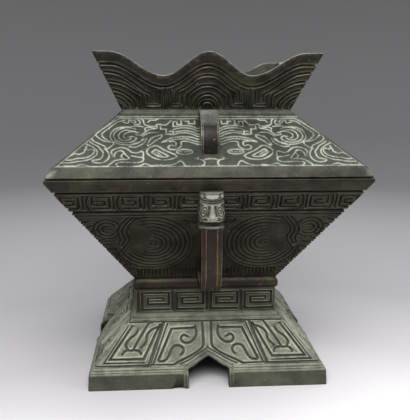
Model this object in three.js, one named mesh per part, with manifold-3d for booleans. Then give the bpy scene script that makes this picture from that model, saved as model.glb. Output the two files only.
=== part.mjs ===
// Square covered bronze vessel in an archaic style, in millimetres, +Z up.
// A square bowl on a neck and a spreading foot, and a pyramid lid with a wave-edged crown.
// The origin is the middle of the foot's underside. The faces with ears look along -Y and +Y.

import * as THREE from 'three';
import { mergeVertices } from 'three/addons/utils/BufferGeometryUtils.js';
import Module from 'manifold-3d';

// Levels of the outer form: half width of the square plan and height above the ground.
const PLINTH = { bottom: 87.0, top: 86.4, height: 11.6 };
const FOOT = { low: 82.9, lowZ: 15.5, high: 57.1, highZ: 41.2 };
const NECK = { half: 53.1, lowZ: 45.7, highZ: 64.5, bead: 55.0, beadZ: 68.5 };
const BODY = { low: 54.1, lowZ: 73.8, high: 107.4, highZ: 152.4 };
const RIM = { half: 108.0, z: 155.35 };
const LID = { half: 107.3, lowZ: 156.9, kink: 103.0, kinkZ: 163.2, high: 62.4, highZ: 195.9 };
const CROWN = { low: 60.1, lowZ: 198.9, high: 78.6, highZ: 238.0 };

// Set-backs of the ledges between those levels.
const LEDGE = {
  foot: 2.0, footRise: 1.4, neck: 2.0, neckDrop: 1.2, bead: 0.6, lid: 1.2, crown: 0.1, hair: 0.2,
};

// Walls, floors and the seam between the lid and the rim.
const WALL = 4.5;
const PLINTH_WALL = 6.5;
const LID_WALL = 4.0;
const NECK_INNER = 47.5;
const FLOOR_UNDER = 74.0;
const FLOOR_TOP = 79.0;
const LID_CEILING = 191.9;
const CROWN_FLOOR = 197.0;
const SEAM = 0.3;

// Notch in the middle of each side of the foot.
const NOTCH = { half: 14.7, shoulderZ: 13.2, apexZ: 20.6, reveal: 4.2, revealDepth: 1.2 };

// Wave of the crown's edge, measured up the sloped wall from its base: a crest in the middle,
// a valley at inner on each side of it, and the hips' height from outer beyond the valley.
const WAVE = { valley: 25.8, crest: 17.4, hip: 16.4, inner: 30.5, outer: 36.0, steps: 3 };

// Ears on the front and back, and the strap loops above them on the lid.
const EAR = { headWidth: 18.0, muzzleWidth: 10.1, browWidth: 16.2, strapWidth: 13.8, rail: 2.6, sink: 1.0 };
const LOOP = { width: 12.4, topWidth: 10.9, rail: 1.3, sink: 0.5, steps: 6 };
const LOOP_LINE = {
  centre: 57.0, centreZ: 170.5, radius: 35.0, height: 28.6, thick: 4.0, power: 2.8, foot: 2.2,
};

// Side outlines of the ear as outward distance and height: the strap, the head, muzzle and brow.
const EAR_OUTER = [[53.5, 74.8], [88, 75], [99, 78.4], [105, 84.6], [107.2, 94], [107, 123]];
const EAR_INNER = [[53.5, 79.6], [86, 79.8], [94.6, 82.4], [99.6, 87.6], [101.2, 95], [101, 123]];
const EAR_HEAD = [
  [84, 122.4], [110, 121.4], [110, 125], [111.4, 128], [109.2, 138], [109.4, 143], [107, 146.6], [99.5, 147],
];
const EAR_MUZZLE = [[100, 125.6], [113.2, 126.6], [113.4, 131.6], [111, 134.5], [100, 134.5]];
const EAR_BROW = [[100, 139.8], [111, 140.4], [110.4, 143.4], [100, 144]];

// Grooves of the cast ornament: width at the surface and depth.
const FINE = { width: 1.7, depth: 0.9 };
const BROAD = { width: 2.6, depth: 1.3 };
const CLEARANCE = 0.35;

// The bowl's and the neck's frets: borders and middle up the face, and spacing along it.
const FRET = { low: 70.4, high: 86.9, middle: 78.8, pitch: 20.0, count: 10 };
const NECK_FRET = { middle: 9.4, pitch: 26.0, count: 4 };
const LID_BORDER = { low: 1.4, high: 47.6 };

// Points left on straight edges by the cuts are merged within this distance.
const FLATNESS = 0.002;

const BRONZE = { color: 0x332f2b, roughness: 0.55, metalness: 0.55 };
const PATINA = { color: 0x49504a, roughness: 0.62, metalness: 0.45 };

const wasm = await Module();
wasm.setup();

// Solids from geometries.

function solid(geometry) {
  const bare = geometry.clone();
  for (const name of Object.keys(bare.attributes)) {
    if (name !== 'position') bare.deleteAttribute(name);
  }
  const merged = mergeVertices(bare, 1e-4);
  const place = merged.attributes.position;
  const corners = [0, 1, 2].map(() => new THREE.Vector3());
  const kept = [];
  let volume = 0;
  for (let i = 0; i < merged.index.count; i += 3) {
    const ids = [0, 1, 2].map((k) => merged.index.getX(i + k));
    if (ids[0] === ids[1] || ids[1] === ids[2] || ids[2] === ids[0]) continue;
    corners.forEach((corner, k) => corner.fromBufferAttribute(place, ids[k]));
    volume += corners[0].dot(corners[1].clone().cross(corners[2]));
    kept.push(ids);
  }
  const outward = kept.flatMap((ids) => (volume < 0 ? [ids[0], ids[2], ids[1]] : ids));
  return new wasm.Manifold(new wasm.Mesh({
    numProp: 3,
    vertProperties: new Float32Array(place.array),
    triVerts: new Uint32Array(outward),
  }));
}

function mesh(name, body, look) {
  const data = body.asOriginal().simplify(FLATNESS).getMesh();
  const geometry = new THREE.BufferGeometry();
  geometry.setAttribute('position', new THREE.BufferAttribute(data.vertProperties, 3));
  geometry.setIndex(new THREE.BufferAttribute(data.triVerts, 1));
  geometry.computeVertexNormals();
  const node = new THREE.Mesh(geometry, new THREE.MeshStandardMaterial(look));
  node.name = name;
  return node;
}

// A square stack: a profile of half widths and heights turned into four flat sides.
function squareStack(profile) {
  const points = profile.map(([half, z]) => new THREE.Vector2(half * Math.SQRT2, z));
  const geometry = new THREE.LatheGeometry(points, 4, Math.PI / 4);
  return solid(geometry.rotateX(Math.PI / 2));
}

function pushed(geometry, x, y, z, origin) {
  const place = new THREE.Matrix4().makeBasis(x, y, z).setPosition(origin);
  return geometry.applyMatrix4(place);
}

function outline(points) {
  return new THREE.Shape(points.map(([a, b]) => new THREE.Vector2(a, b)));
}

// A plate standing across the X axis: its outline is outward distance and height.
function acrossX(points, width) {
  const geometry = new THREE.ExtrudeGeometry(outline(points), { depth: width, bevelEnabled: false });
  geometry.translate(0, 0, -width / 2);
  const out = new THREE.Vector3(0, -1, 0);
  const up = new THREE.Vector3(0, 0, 1);
  const side = new THREE.Vector3(-1, 0, 0);
  return pushed(geometry, out, up, side, new THREE.Vector3());
}

// A plate in front of the body: its outline is X and height, it reaches from near to far.
function acrossY(points, near, far) {
  const geometry = new THREE.ExtrudeGeometry(outline(points), { depth: far - near, bevelEnabled: false });
  const right = new THREE.Vector3(1, 0, 0);
  const up = new THREE.Vector3(0, 0, 1);
  const out = new THREE.Vector3(0, -1, 0);
  return pushed(geometry, right, up, out, new THREE.Vector3(0, -near, 0));
}

// Sloped faces: u runs along the face, v up its slant, from its lower edge.

function face(low, lowZ, high, highZ) {
  const slant = Math.hypot(high - low, highZ - lowZ);
  const up = new THREE.Vector3(0, (low - high) / slant, (highZ - lowZ) / slant);
  const normal = new THREE.Vector3(0, -up.z, up.y);
  const origin = new THREE.Vector3(0, -low, lowZ);
  return { slant, up, normal, origin, low, high };
}

function halfAt(side, v) {
  return side.low + (side.high - side.low) * v / side.slant;
}

// A three-sided cutter along a line on a face: its keel lies under the surface.
function groove(points, size, closed = false) {
  const count = points.length;
  const spread = size.width / 2 * (size.depth + CLEARANCE) / size.depth;
  const at = (i) => points[(i + count) % count];
  const towards = (a, b) => {
    const length = Math.hypot(b[0] - a[0], b[1] - a[1]);
    return [(b[0] - a[0]) / length, (b[1] - a[1]) / length];
  };
  const vertices = [];
  points.forEach(([u, v], i) => {
    const first = !closed && i === 0;
    const last = !closed && i === count - 1;
    const before = first ? towards(at(0), at(1)) : towards(at(i - 1), at(i));
    const after = last ? before : towards(at(i), at(i + 1));
    const across = [-(before[1] + after[1]), before[0] + after[0]];
    const length = Math.hypot(across[0], across[1]) || 1;
    const mitre = spread / Math.max(length / 2, 0.5) / length;
    vertices.push(u + across[0] * mitre, v + across[1] * mitre, CLEARANCE);
    vertices.push(u - across[0] * mitre, v - across[1] * mitre, CLEARANCE);
    vertices.push(u, v, -size.depth);
  });
  const index = [];
  const spans = closed ? count : count - 1;
  for (let i = 0; i < spans; i += 1) {
    const a = 3 * i;
    const b = 3 * ((i + 1) % count);
    for (const [p, q] of [[0, 1], [1, 2], [2, 0]]) {
      index.push(a + p, b + p, b + q, a + p, b + q, a + q);
    }
  }
  if (!closed) {
    const end = 3 * (count - 1);
    index.push(0, 1, 2, end, end + 2, end + 1);
  }
  const geometry = new THREE.BufferGeometry();
  geometry.setAttribute('position', new THREE.Float32BufferAttribute(vertices, 3));
  geometry.setIndex(index);
  return geometry;
}

function onFace(side, geometry) {
  const across = new THREE.Vector3(1, 0, 0);
  return pushed(geometry, across, side.up, side.normal, side.origin);
}

function cutters(side, lines) {
  return lines.map((one) => onFace(side, groove(one.points, one.size, one.closed)));
}

// Lines of the ornament, as lists of points on a face.

const line = (points, size = FINE) => ({ points, size, closed: false });
const loop = (points, size = FINE) => ({ points, size, closed: true });

function mirrored(lines) {
  const other = lines.map((one) => ({ ...one, points: one.points.map(([u, v]) => [-u, v]) }));
  return [...lines, ...other];
}

function level(side, v, size = FINE) {
  const reach = halfAt(side, v) + size.width;
  return line([[-reach, v], [reach, v]], size);
}

// Part of an ellipse about (u, v), from one angle to another in degrees.
function arc(u, v, radiusU, radiusV, from, to, steps) {
  const points = [];
  for (let i = 0; i <= steps; i += 1) {
    const angle = THREE.MathUtils.degToRad(from + (to - from) * i / steps);
    points.push([u + radiusU * Math.cos(angle), v + radiusV * Math.sin(angle)]);
  }
  return points;
}

// A coil that closes in on (u, v) from the outer radius to the inner one.
function coil(u, v, outer, inner, from, turns, steps) {
  const points = [];
  for (let i = 0; i <= steps; i += 1) {
    const angle = THREE.MathUtils.degToRad(from) + 2 * Math.PI * turns * i / steps;
    const radius = outer + (inner - outer) * i / steps;
    points.push([u + radius * Math.cos(angle), v + radius * Math.sin(angle)]);
  }
  return points;
}

// A squared coil of right angles, wide by high, drawn inwards with an even pitch.
function key(u, v, wide, high, pitch, legs, turn) {
  const points = [[u - turn * wide / 2, v - high / 2]];
  const step = [[1, 0], [0, 1], [-1, 0], [0, -1]];
  let [a, b] = points[0];
  for (let i = 0; i < legs; i += 1) {
    const inset = pitch * Math.max(0, Math.floor((i - 1) / 2));
    const [du, dv] = step[i % 4];
    a += turn * du * (wide - inset);
    b += dv * (high - inset);
    points.push([a, b]);
  }
  return points;
}

// Crown: waves that follow the edge, nested arches in the middle and at the corners.

function waveAt(u, valley, crest, hip) {
  const out = Math.abs(u);
  if (out <= WAVE.inner) return valley + crest * (1 + Math.cos(Math.PI * out / WAVE.inner)) / 2;
  const share = Math.min((out - WAVE.inner) / WAVE.outer, 1);
  return valley + hip * (1 - Math.cos(Math.PI * share)) / 2;
}

function wavePoints(valley, crest, hip) {
  const right = [];
  for (let i = 1; i <= WAVE.steps; i += 1) right.push(WAVE.inner * i / WAVE.steps);
  for (let i = 1; i <= WAVE.steps; i += 1) right.push(WAVE.inner + WAVE.outer * i / WAVE.steps);
  const left = right.map((u) => -u).reverse();
  return [...left, 0, ...right].map((u) => [u, waveAt(u, valley, crest, hip)]);
}

function crownLines(side) {
  const band = wavePoints(17.3, 15.7, 16.1);
  const edge = halfAt(side, 33) + 1.5;
  const middle = [
    line([[-edge, 33.4], ...band, [edge, 33.4]], BROAD),
    line([[-21, 7.5], [-21, 14], [-8, 24.4], [8, 24.4], [21, 14], [21, 7.5]]),
    line([[-14, 3], [-14, 10.5], [-5.4, 17.8], [5.4, 17.8], [14, 10.5], [14, 3]]),
    line([[-9.3, 2], [-4.4, 11], [4.4, 11], [9.3, 2]]),
  ];
  const sides = mirrored([
    line([[30.5, 15], [30.5, 2]]),
    line([[17.7, 8], [17.7, 3.6], [26, 3.6]]),
    line([[74, 28.5], [61, 27], [38.5, 12], [38.5, 7]]),
    line([[71, 22], [60, 20.5], [45, 10.5], [45, 2]]),
    line([[68, 15.5], [57, 12.6], [50, 2]]),
    line([[65, 9.5], [55, 2]]),
  ]);
  return [...middle, ...sides];
}

// The cut above the wave runs out past both hips.
function waveCutter(side) {
  const reach = CROWN.high + 8;
  const edge = WAVE.valley + WAVE.hip;
  const crest = wavePoints(WAVE.valley, WAVE.crest, WAVE.hip);
  const top = side.slant + 4;
  const shape = outline([[-reach, edge], ...crest, [reach, edge], [reach, top], [-reach, top]]);
  const geometry = new THREE.ExtrudeGeometry(shape, { depth: 20, bevelEnabled: false });
  geometry.translate(0, 0, -12);
  return onFace(side, geometry);
}

// Lid: clouds, swirls, eyes and half moons on the slope, above a plain band.

function lidLines(side) {
  const border = level(side, LID_BORDER.low);
  const top = LID_BORDER.high;
  const hip = (v, inset) => [halfAt(side, v) - inset, v];
  return [border, ...mirrored([
    line([[7, top], hip(top, 7), hip(22, 9)]),
    line(coil(57, 28.5, 14, 3.6, 200, -1.4, 8), BROAD),
    line(arc(87, 13.5, 14, 11, 95, 250, 4)),
    loop([[40.5, 19], [30, 9], [24, 8], [36, 21.5]]),
    loop([[11, 14], [18, 17.4], [23, 15], [16, 11.6]]),
    line([[7.5, 21], [18, 26.4], [33, 22]]),
    line([[7.5, 30], [26, 33.6]]),
    line([[44, 15], [52, 17.5], [66, 11.5]]),
  ])];
}

// Bowl: a fret band under the rim, coiled swirls below and short bars at the bottom.

function bodyLines(side) {
  const lines = [level(side, FRET.high, BROAD), level(side, FRET.low, BROAD)];
  for (let i = 0; i < FRET.count; i += 1) {
    const u = FRET.pitch * (i + 0.5 - FRET.count / 2);
    lines.push(line(key(u, FRET.middle, 13.4, 11.4, 4.4, 4, u < 0 ? 1 : -1)));
  }
  lines.push(...mirrored([
    line(coil(39, 39, 26, 4, -60, 1.75, 12), BROAD),
  ]));
  for (let u = -36; u <= 36; u += 24) {
    lines.push(line([[u, 3], [u, 11]]));
  }
  return lines;
}

function neckLines() {
  const lines = [];
  for (let i = 0; i < NECK_FRET.count; i += 1) {
    const u = NECK_FRET.pitch * (i + 0.5 - NECK_FRET.count / 2);
    lines.push(line(key(u, NECK_FRET.middle, 21, 13, 4.4, 6, -1), BROAD));
  }
  return lines;
}

// Foot: bands along the notch, hooked scrolls in the middle, framed strokes at the corners.

function footLines() {
  return mirrored([
    line([[3, 36], [3, 15.6], [11, 8.4], [24, -1]]),
    line([[0, 12.4], [18.5, 0.6]]),
    line([[32, 37], [43, -1]], BROAD),
    line([
      [18.2, 10], [18.6, 15], [25, 15.6], [32.6, 4.1], [37.4, 4.3], [26.4, 29.5], [10.4, 29.5],
    ]),
    line([[8.4, 31], [8.4, 23.4], [13.2, 18], [19.4, 19.4], [16.4, 24]]),
    line([[36, 31.5], [47.5, 6.2], [72, 6.2], [54.5, 31.5]]),
    line([[40.4, 28.4], [45.4, 22], [49.6, 14.4]]),
    line([[43.6, 35], [54.6, 14.6]]),
    line([[52.2, 28.4], [60.2, 18], [59.2, 14.4]]),
    line([[49, 11.6], [62.4, 11.6]]),
  ]);
}

// The main bodies, before the ears and the ornament.

function slopeShift(low, lowZ, high, highZ, thick) {
  const slant = Math.hypot(high - low, highZ - lowZ);
  return thick * slant / Math.abs(highZ - lowZ);
}

function vesselBody() {
  const bodyShift = slopeShift(BODY.low, BODY.lowZ, BODY.high, BODY.highZ, WALL);
  const footShift = slopeShift(FOOT.low, FOOT.lowZ, FOOT.high, FOOT.highZ, WALL);
  const gain = (BODY.high - BODY.low) / (BODY.highZ - BODY.lowZ);
  const floorHalf = BODY.low + gain * (FLOOR_TOP - BODY.lowZ) - bodyShift;
  const rimHalf = BODY.high + gain * (RIM.z - BODY.highZ) - bodyShift;
  return squareStack([
    [0, FLOOR_UNDER],
    [NECK_INNER, FLOOR_UNDER],
    [NECK_INNER, FOOT.highZ],
    [FOOT.low - footShift, FOOT.lowZ],
    [PLINTH.bottom - PLINTH_WALL, 0],
    [PLINTH.bottom, 0],
    [PLINTH.top, PLINTH.height],
    [FOOT.low + LEDGE.foot, PLINTH.height + LEDGE.bead],
    [FOOT.low + LEDGE.foot, FOOT.lowZ - LEDGE.foot],
    [FOOT.low, FOOT.lowZ],
    [FOOT.high, FOOT.highZ],
    [FOOT.high, FOOT.highZ + LEDGE.footRise],
    [NECK.half + LEDGE.neck, FOOT.highZ + LEDGE.footRise + LEDGE.hair],
    [NECK.half + LEDGE.neck, NECK.lowZ - LEDGE.neckDrop],
    [NECK.half, NECK.lowZ],
    [NECK.half, NECK.highZ],
    [NECK.bead - LEDGE.bead, NECK.beadZ - 2.6],
    [NECK.bead, NECK.beadZ],
    [NECK.bead - LEDGE.bead, NECK.beadZ + 2.8],
    [BODY.low - 1, BODY.lowZ - 1],
    [BODY.low, BODY.lowZ],
    [BODY.high, BODY.highZ],
    [RIM.half, BODY.highZ + 1],
    [RIM.half, RIM.z],
    [rimHalf, RIM.z],
    [floorHalf, FLOOR_TOP],
    [0, FLOOR_TOP],
  ]);
}

function lidBody() {
  const slope = face(LID.kink, LID.kinkZ, LID.high, LID.highZ);
  const inX = -slope.normal.y * LID_WALL;
  const inZ = slope.normal.z * LID_WALL;
  const fall = (LID.kink - LID.high) / (LID.highZ - LID.kinkZ);
  const ceilingHalf = LID.high - inX + fall * (LID.highZ - inZ - LID_CEILING);
  const crownShift = slopeShift(CROWN.low, CROWN.lowZ, CROWN.high, CROWN.highZ, LID_WALL);
  const flare = (CROWN.high - CROWN.low) / (CROWN.highZ - CROWN.lowZ);
  const dishHalf = CROWN.low - flare * (CROWN.lowZ - CROWN_FLOOR) - crownShift;
  const bottom = RIM.z + SEAM;
  return squareStack([
    [0, LID_CEILING],
    [ceilingHalf, LID_CEILING],
    [LID.kink - inX, LID.kinkZ - inZ],
    [LID.kink - inX + 1, bottom],
    [LID.half - 0.7, bottom],
    [LID.half, LID.lowZ],
    [LID.kink, LID.kinkZ],
    [LID.high, LID.highZ],
    [LID.high, LID.highZ + LEDGE.lid],
    [CROWN.low + LEDGE.crown, LID.highZ + LEDGE.lid + LEDGE.hair],
    [CROWN.low + LEDGE.crown, CROWN.lowZ],
    [CROWN.high, CROWN.highZ],
    [CROWN.high - crownShift, CROWN.highZ],
    [dishHalf, CROWN_FLOOR],
    [0, CROWN_FLOOR],
  ]);
}

function notchOutline(half, shoulder, apex) {
  const rise = apex - shoulder;
  const side = [[half, -1], [half, shoulder], [half * 0.75, shoulder + rise * 0.3],
    [half * 0.48, shoulder + rise * 0.52], [half * 0.22, shoulder + rise * 0.75]];
  const other = side.map(([x, z]) => [-x, z]).reverse();
  return [...side, [0, apex], ...other];
}

function notchCutters() {
  const wide = NOTCH.half + NOTCH.reveal;
  const through = notchOutline(NOTCH.half, NOTCH.shoulderZ, NOTCH.apexZ);
  const reveal = notchOutline(wide, NOTCH.shoulderZ + 1.3, NOTCH.apexZ + 4.8);
  const front = PLINTH.bottom + 8;
  return [
    acrossY(through, NECK_INNER + 8, front),
    acrossY(reveal, PLINTH.top - NOTCH.revealDepth, front),
  ];
}

// A strap with two raised edges and a sunken middle, bent along an outward line and a height.
function strap(outer, inner, width, rail, sink) {
  const low = (points) => points.map(([a, z], i) => {
    const before = points[Math.max(i - 1, 0)];
    const after = points[Math.min(i + 1, points.length - 1)];
    const length = Math.hypot(after[0] - before[0], after[1] - before[1]);
    const across = [(after[1] - before[1]) / length, -(after[0] - before[0]) / length];
    return [a - sink * across[0], z - sink * across[1]];
  });
  const back = [...inner].reverse();
  const edge = acrossX([...outer, ...back], rail);
  const shift = (width - rail) / 2;
  return [
    acrossX([...low(outer), ...back], width),
    edge.clone().translate(-shift, 0, 0),
    edge.clone().translate(shift, 0, 0),
  ];
}

function earPieces() {
  return [
    ...strap(EAR_OUTER, EAR_INNER, EAR.strapWidth, EAR.rail, EAR.sink),
    acrossX(EAR_HEAD, EAR.headWidth),
    acrossX(EAR_MUZZLE, EAR.muzzleWidth),
    acrossX(EAR_BROW, EAR.browWidth),
  ];
}

// The loop's line is a squarish quarter ellipse from the slope up to the crown's base.
function loopLine(inset) {
  const points = [];
  for (let i = LOOP.steps; i >= 0; i -= 1) {
    const angle = Math.PI / 2 * i / LOOP.steps;
    const out = (LOOP_LINE.radius - inset) * Math.sin(angle) ** (2 / LOOP_LINE.power);
    const up = (LOOP_LINE.height - inset) * Math.cos(angle) ** (2 / LOOP_LINE.power);
    points.push([LOOP_LINE.centre + out, LOOP_LINE.centreZ + up]);
  }
  return points;
}

// The loop is a little narrower where it springs from the crown.
function loopPieces() {
  const inner = loopLine(LOOP_LINE.thick);
  const tip = LOOP_LINE.centre + LOOP_LINE.radius;
  inner[0][1] += LOOP_LINE.foot;
  const pieces = strap(loopLine(0), inner, LOOP.width, LOOP.rail, LOOP.sink);
  for (const piece of pieces) {
    const place = piece.attributes.position;
    for (let i = 0; i < place.count; i += 1) {
      const reach = THREE.MathUtils.smoothstep(-place.getY(i), CROWN.low, tip);
      const share = THREE.MathUtils.lerp(LOOP.topWidth / LOOP.width, 1, reach);
      place.setX(i, place.getX(i) * share);
    }
  }
  return pieces;
}

// The same geometries on two or four sides, joined into one solid.

function around(geometries, sides) {
  const solids = [];
  for (let i = 0; i < sides; i += 1) {
    const angle = 2 * Math.PI * i / sides;
    solids.push(...geometries.map((one) => solid(one.clone().rotateZ(angle))));
  }
  return wasm.Manifold.union(solids);
}

const bodyFace = face(BODY.low, BODY.lowZ, BODY.high, BODY.highZ);
const neckFace = face(NECK.half, NECK.lowZ, NECK.half, NECK.highZ);
const footFace = face(FOOT.low, FOOT.lowZ, FOOT.high, FOOT.highZ);
const lidFace = face(LID.kink, LID.kinkZ, LID.high, LID.highZ);
const crownFace = face(CROWN.low, CROWN.lowZ, CROWN.high, CROWN.highZ);

function vessel() {
  const cuts = [
    ...notchCutters(),
    ...cutters(bodyFace, bodyLines(bodyFace)),
    ...cutters(neckFace, neckLines()),
    ...cutters(footFace, footLines()),
  ];
  return vesselBody().subtract(around(cuts, 4)).add(around(earPieces(), 2));
}

function lid() {
  const cuts = [
    waveCutter(crownFace),
    ...cutters(crownFace, crownLines(crownFace)),
    ...cutters(lidFace, lidLines(lidFace)),
  ];
  return lidBody().subtract(around(cuts, 4)).add(around(loopPieces(), 2));
}

const part = new THREE.Group();
part.add(mesh('vessel', vessel(), BRONZE));
part.add(mesh('lid', lid(), PATINA));

export default part;
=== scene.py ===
import math

import bmesh
import bpy
import numpy as np
from mathutils import Matrix, Vector
from mathutils.geometry import delaunay_2d_cdt


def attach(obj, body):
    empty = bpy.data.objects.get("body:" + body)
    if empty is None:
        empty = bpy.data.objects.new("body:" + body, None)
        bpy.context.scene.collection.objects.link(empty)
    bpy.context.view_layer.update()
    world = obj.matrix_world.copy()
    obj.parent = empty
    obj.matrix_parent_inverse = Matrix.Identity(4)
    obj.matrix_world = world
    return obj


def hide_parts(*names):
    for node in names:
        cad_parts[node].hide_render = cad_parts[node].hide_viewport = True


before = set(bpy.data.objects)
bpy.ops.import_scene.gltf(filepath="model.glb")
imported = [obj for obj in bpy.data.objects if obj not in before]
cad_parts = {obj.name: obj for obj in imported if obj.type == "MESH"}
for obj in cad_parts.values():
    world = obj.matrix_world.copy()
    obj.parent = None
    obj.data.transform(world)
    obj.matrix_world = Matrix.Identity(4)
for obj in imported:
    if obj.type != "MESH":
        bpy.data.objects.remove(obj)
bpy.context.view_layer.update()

# Sizes are in millimetres, and MM brings them to metres.
MM = 0.001
BODY_NAME = "root"

# Levels of the outer form: half width of the square plan and height.
PLINTH = [(87, 0), (86.9, 0.6), (86.4, 11), (85.8, 11.6)]
BEADS = [(84.6, 11.9), (84.9, 12.5), (84.6, 13.2), (83.6, 13.4), (83.9, 14.2), (83.5, 15.2), (82.9, 15.5)]
FOOT = (82.9, 15.5, 57.1, 41.2)
LEDGES = [(57.3, 41.8), (57, 42.5), (55.4, 42.7), (55.3, 44.2), (54.9, 44.6), (53.4, 44.9), (53.1, 45.7)]
NECK = (53.1, 45.7, 53.1, 64.5)
COLLAR = [(53.9, 65), (54.7, 66.2), (55, 68.3), (54.7, 70.4), (53.8, 71.9), (53.2, 72.6), (54.1, 73.8)]
BOWL = (54.1, 73.8, 107.4, 152.4)
RIM = [(107.8, 152.9), (108, 153.5), (107.95, 154.9), (107.5, 155.35)]
MOUTH = [(103.9, 155.35), (103.4, 155), (98, 146.9), (90, 134.9), (80, 119.8), (70, 104.8),
         (60, 89.7)]
BOWL_FLOOR = [(53.5, 80), (51, 79), (34, 79), (17, 79), (0, 79)]
FOOT_INSIDE = [(0, 74), (16, 74), (32, 74), (46.5, 74), (47.5, 73), (47.5, 57),
               (47.5, 41.2), (57, 32.8), (67, 23.9), (76.5, 15.5), (80.5, 0.4), (80.9, 0)]

LID_INSIDE = [(0, 191.9), (20, 191.9), (40, 191.9), (58.9, 191.9), (72, 181.7), (86, 170.8),
              (99.85, 160.2), (100.8, 156.1), (101.2, 155.65)]
LID_EDGE = [(106.4, 155.65), (107, 156.1), (107.3, 156.9), (106.9, 157.6)]
LID_BAND = [(106.9, 157.6), (103.6, 162.6), (103, 163.2)]
LID_SLOPE = (103, 163.2, 62.4, 195.9)
CROWN_BASE = [(62.4, 196.4), (62, 197), (60.4, 197.3), (60.2, 198.3), (60.1, 198.9)]
CROWN = (60.1, 198.9, 78.6, 238)
CROWN_INSIDE = (55.6, 198.5, 74.3, 238)
CROWN_FLOOR = [(54.6, 197.1), (53.5, 197), (36, 197), (18, 197), (0, 197)]
# The crown's wavy edge up its wall: valley height, rises of crest and hip, and their reach.
WAVE_VALLEY, WAVE_CREST, WAVE_HIP, WAVE_INNER, WAVE_OUTER = 25.8, 17.4, 16.4, 30.5, 36.0

# The notch in each side of the foot: half width, and heights of its shoulder and its point.
NOTCH_HALF, NOTCH_SHOULDER, NOTCH_APEX = 14.7, 13.4, 20.6
# The edges between the four sides are rounded by this radius, in this many steps on each side.
HIP_RADIUS, HIP_STEPS = 1.3, 3
COLUMNS = 44
# Spacing of the mesh between the lines, and how far it stays from the borders.
NET, NET_CLEAR = 3.4, 0.6
# Depth of a groove and height of a lip that take their colour in full.
FULL_GROOVE, FULL_LIP = 0.8, 0.3
SOFT_ANGLE = 38

# The camera of the photograph: place in millimetres, turns in degrees, and lens.
CAMERA_PLACE = (-32.80, -507.83, 212.69)
CAMERA_YAW, CAMERA_PITCH, CAMERA_ROLL = 4.02, 10.888, 0.134
CAMERA_LENS = 53.7


# Meshes and node trees.

def add_object(name, data):
    piece = bpy.data.objects.new(name, data)
    bpy.context.scene.collection.objects.link(piece)
    return piece


def make_piece(name, points, faces):
    mesh = bpy.data.meshes.new(name)
    mesh.from_pydata([tuple(p) for p in points], [], faces)
    return add_object(name, mesh)


def grid(rows, width, around=False):
    """Four-sided faces between rows of points, closed around where asked."""
    faces = []
    for j in range(rows - 1):
        for i in range(width if around else width - 1):
            a, b = j * width + i, j * width + (i + 1) % width
            faces.append((a, b, b + width, a + width))
    return faces


def weld(piece, distance=3e-6):
    """Merges doubled points, drops flat leftovers and turns every face outwards."""
    work = bmesh.new()
    work.from_mesh(piece.data)
    bmesh.ops.remove_doubles(work, verts=work.verts, dist=distance)
    bmesh.ops.dissolve_degenerate(work, edges=work.edges, dist=1e-7)
    bmesh.ops.recalc_face_normals(work, faces=work.faces)
    work.to_mesh(piece.data)
    work.free()
    piece.data.shade_smooth()
    piece.data.set_sharp_from_angle(angle=math.radians(SOFT_ANGLE))


def read_points(piece, what="co"):
    """The places or the normals of a piece's points."""
    values = np.zeros(len(piece.data.vertices) * 3)
    piece.data.vertices.foreach_get(what, values)
    return values.reshape(-1, 3)


def add_layer(piece, name, values):
    layer = piece.data.attributes.new(name, "FLOAT", "POINT")
    layer.data.foreach_set("value", values)


def baked_mesh(thing):
    """The plain mesh that a thing's modifiers make."""
    return bpy.data.meshes.new_from_object(thing.evaluated_get(bpy.context.evaluated_depsgraph_get()))


def new_socket(tree, name, kind, way, value=None):
    socket = tree.interface.new_socket(name, in_out=way, socket_type="NodeSocket" + kind)
    if value is not None:
        socket.default_value = value


class Graph:
    """Short words for placing and linking nodes."""

    def __init__(self, tree):
        self.tree, self.nodes, self.links = tree, tree.nodes, tree.links

    def set(self, socket, value):
        if isinstance(value, bpy.types.NodeSocket):
            self.links.new(value, socket)
        else:
            socket.default_value = value

    def fill(self, node, inputs):
        for name, value in inputs.items():
            self.set(node.inputs[name], value)
        return node

    def node(self, kind, inputs=None, **settings):
        node = self.nodes.new(kind)
        for name, value in settings.items():
            setattr(node, name, value)
        return self.fill(node, inputs or {})

    def maths(self, operation, a, b, clamp=False):
        return self.node("ShaderNodeMath", {0: a, 1: b}, operation=operation, use_clamp=clamp).outputs[0]

    def times(self, a, b, clamp=False):
        return self.maths("MULTIPLY", a, b, clamp)

    def plus(self, a, b):
        return self.maths("ADD", a, b)

    def mix(self, factor, a, b):
        # Sockets 6 and 7 are the node's two colours.
        return self.node("ShaderNodeMix", {"Factor": factor, 6: a, 7: b}, data_type="RGBA").outputs[2]

    def ramp(self, value, low, high, to_low=0.0, to_high=1.0):
        return self.node("ShaderNodeMapRange", {"Value": value, "From Min": low, "From Max": high,
                                                "To Min": to_low, "To Max": to_high}, clamp=True).outputs[0]

    def place(self):
        return self.node("ShaderNodeTexCoord").outputs["Object"]

    def noise(self, place, scale, detail, rough):
        return self.node("ShaderNodeTexNoise", {"Vector": place, "Scale": scale, "Detail": detail,
                                                "Roughness": rough}).outputs["Fac"]


# Square forms.

def corner_radius(half):
    """Radius of the rounded hips, less where the square is small."""
    return np.minimum(HIP_RADIUS, half * 0.45)


def plan(u, half, push=0.0):
    """Point of the rounded square's front side at u, pushed outward: x and distance to the front."""
    radius = corner_radius(half)
    flat = half - radius
    share = np.clip((np.abs(u) - flat) / np.maximum(radius, 1e-9), 0, 1)
    angle = share * math.pi / 4
    x = np.where(share > 0, flat + radius * np.sin(angle), np.abs(u)) + push * np.sin(angle)
    return np.sign(u) * x, flat + (radius + push) * np.cos(angle)


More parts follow.
